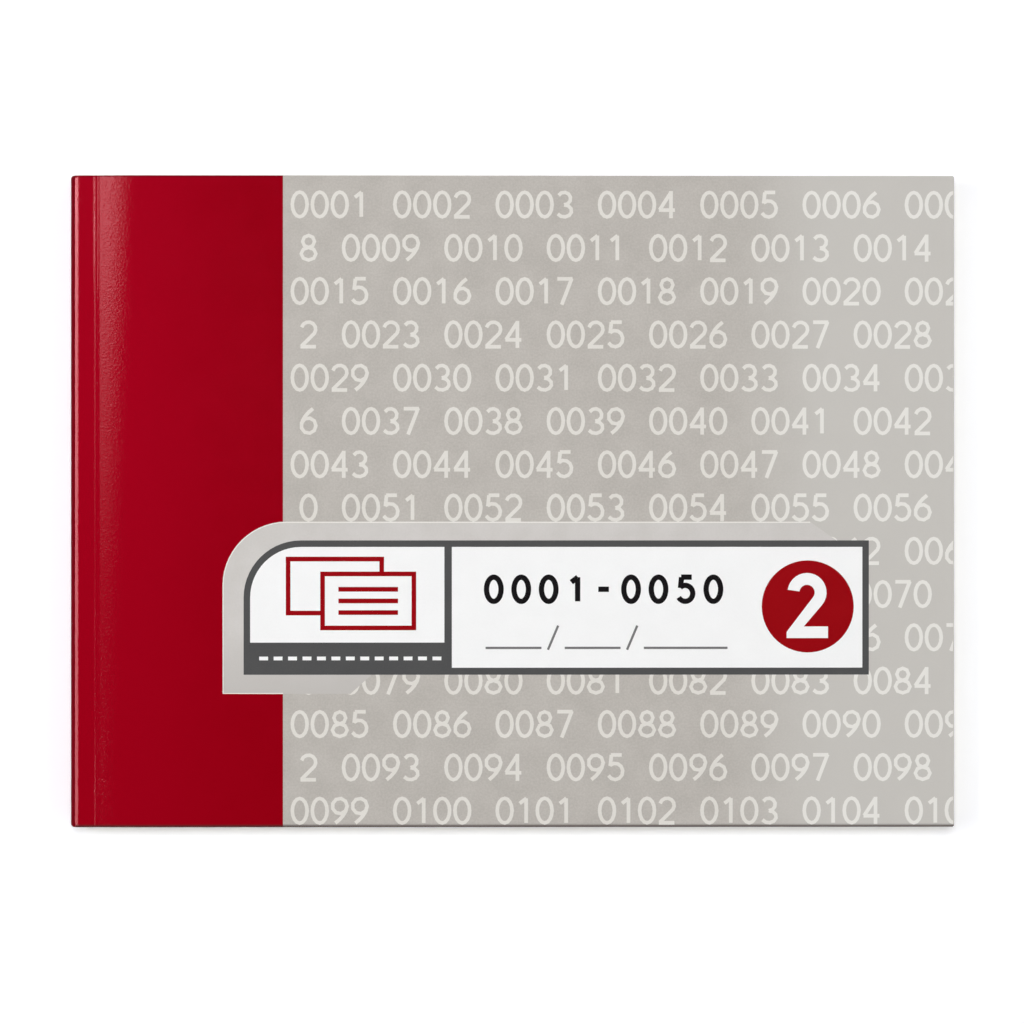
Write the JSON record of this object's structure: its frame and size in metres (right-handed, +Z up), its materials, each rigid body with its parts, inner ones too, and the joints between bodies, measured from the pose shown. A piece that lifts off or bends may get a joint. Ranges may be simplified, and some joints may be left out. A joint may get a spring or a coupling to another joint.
{
  "type": "duplicate receipt book",
  "caption": "Landscape receipt book: a glossy card cover wrapped round a stitched and glued pad of carbonless sets, with tear-off originals, fixed duplicates and a loose writing shield.",
  "frame": {"origin": "middle of the closed book's footprint, on the surface it lies on", "axes": "+X from the spine to the fore-edge, +Y from tail to head of the cover, +Z up out of the front cover"},
  "size_m": [0.19, 0.14, 0.008],
  "materials": {
    "cover_card": "gloss laminated",
    "original_paper": "uncoated",
    "duplicate_paper": "uncoated",
    "shield_card": "uncoated",
    "glue": "waxy",
    "wire": "bright drawn wire"
  },
  "bodies": {
    "pad": {"spine_wrap": "cover_card", "spine_glue": "glue", "head_stitch": "wire", "tail_stitch": "wire", "original_01_stub": "original_paper", "duplicate_01_stub": "duplicate_paper", "original_02_stub": "original_paper", "duplicate_02_stub": "duplicate_paper", "original_03_stub": "original_paper", "duplicate_03_stub": "duplicate_paper", "original_04_stub": "original_paper", "duplicate_04": "duplicate_paper", "originals_05_to_10": "original_paper", "duplicates_05_to_10": "duplicate_paper", "originals_11_to_20": "original_paper", "duplicates_11_to_20": "duplicate_paper", "originals_21_to_30": "original_paper", "duplicates_21_to_30": "duplicate_paper", "originals_31_to_40": "original_paper", "duplicates_31_to_40": "duplicate_paper", "originals_41_to_50": "original_paper", "duplicates_41_to_50": "duplicate_paper"},
    "front_cover": {"front_cover": "cover_card"},
    "original_01": {"original_01": "original_paper"},
    "duplicate_01": {"duplicate_01": "duplicate_paper"},
    "original_02": {"original_02": "original_paper"},
    "duplicate_02": {"duplicate_02": "duplicate_paper"},
    "original_03": {"original_03": "original_paper"},
    "duplicate_03": {"duplicate_03": "duplicate_paper"},
    "receipt": {"original_04": "original_paper"},
    "shield": {"writing_shield": "shield_card"},
    "back_cover": {"back_cover": "cover_card"}
  },
  "joints": [
    {"name": "front_cover_hinge", "type": "hinge", "parent": "pad", "child": "front_cover", "pos_m": [-0.0897, 0, 0.0077], "axis": [0, -1, 0], "range_deg": [0, 175]},
    {"name": "original_01_turn", "type": "hinge", "parent": "pad", "child": "original_01", "pos_m": [-0.075, 0, 0.00765], "axis": [0, -1, 0], "range_deg": [0, 172]},
    {"name": "duplicate_01_turn", "type": "hinge", "parent": "pad", "child": "duplicate_01", "pos_m": [-0.075, 0, 0.00765], "axis": [0, -1, 0], "range_deg": [0, 169]},
    {"name": "original_02_turn", "type": "hinge", "parent": "pad", "child": "original_02", "pos_m": [-0.075, 0, 0.00765], "axis": [0, -1, 0], "range_deg": [0, 164]},
    {"name": "duplicate_02_turn", "type": "hinge", "parent": "pad", "child": "duplicate_02", "pos_m": [-0.075, 0, 0.00765], "axis": [0, -1, 0], "range_deg": [0, 162]},
    {"name": "original_03_turn", "type": "hinge", "parent": "pad", "child": "original_03", "pos_m": [-0.075, 0, 0.00765], "axis": [0, -1, 0], "range_deg": [0, 156]},
    {"name": "duplicate_03_turn", "type": "hinge", "parent": "pad", "child": "duplicate_03", "pos_m": [-0.075, 0, 0.00765], "axis": [0, -1, 0], "range_deg": [0, 154]},
    {"name": "receipt_tear_off", "type": "slide", "parent": "pad", "child": "receipt", "axis": [1, 0, 0], "range_m": [0, 0.18]},
    {"name": "shield_slide", "type": "slide", "parent": "pad", "child": "shield", "axis": [0, -1, 0], "range_m": [0, 0.145]},
    {"name": "back_cover_hinge", "type": "hinge", "parent": "pad", "child": "back_cover", "pos_m": [-0.0897, 0, 0], "axis": [0, 1, 0], "range_deg": [0, 175]}
  ],
  "couplings": [
    {"joint": "original_01_turn", "follows": "front_cover_hinge", "ratio": 0.98},
    {"joint": "duplicate_01_turn", "follows": "front_cover_hinge", "ratio": 0.965},
    {"joint": "original_02_turn", "follows": "front_cover_hinge", "ratio": 0.935},
    {"joint": "duplicate_02_turn", "follows": "front_cover_hinge", "ratio": 0.92},
    {"joint": "original_03_turn", "follows": "front_cover_hinge", "ratio": 0.89},
    {"joint": "duplicate_03_turn", "follows": "front_cover_hinge", "ratio": 0.875}
  ]
}
